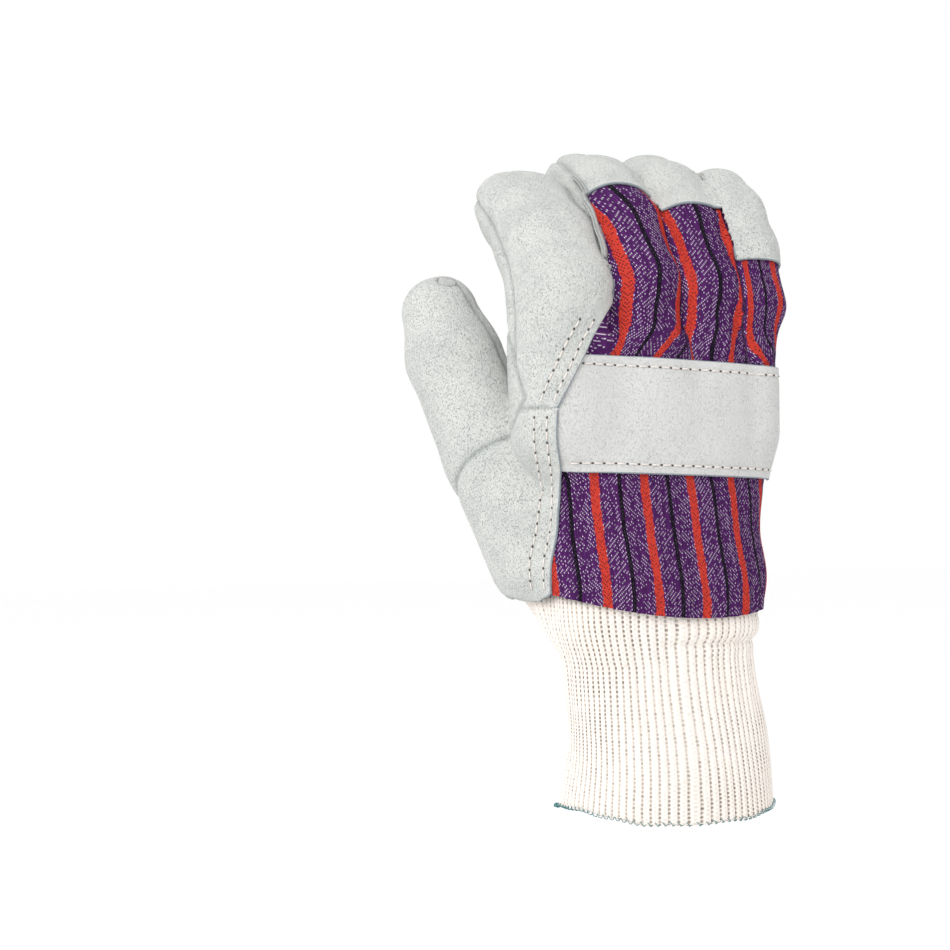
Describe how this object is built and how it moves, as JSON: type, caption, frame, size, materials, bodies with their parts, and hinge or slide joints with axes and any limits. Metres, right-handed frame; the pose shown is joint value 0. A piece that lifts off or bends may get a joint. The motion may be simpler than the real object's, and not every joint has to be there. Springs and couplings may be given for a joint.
{
  "type": "leather work glove",
  "caption": "Right-hand work glove with a split-leather palm, thumb and fingertips, a striped canvas back, a leather knuckle strap and a rib-knit cuff",
  "frame": {"origin": "centre of the wrist opening, at the cuff's rim", "axes": "+Z from the wrist opening up to the fingertips, -Y out of the back of the hand, +Y out of the palm, -X to the thumb, +X to the little finger"},
  "size_m": [0.1429, 0.084, 0.2632],
  "materials": {
    "leather": "pale grey split leather, napped and matt",
    "canvas": "purple cotton twill with red and black stripes",
    "knit": "cream ribbed cotton knit"
  },
  "bodies": {
    "root": {"palm_leather": "leather", "index_back": "leather", "thumb_back": "leather", "thumb_front": "leather", "middle_front": "leather", "ring_front": "leather", "middle_tip": "leather", "ring_tip": "leather", "little_tip": "leather", "hand_back": "canvas", "knuckle_strap": "leather", "knit_cuff": "knit"}
  },
  "joints": []
}
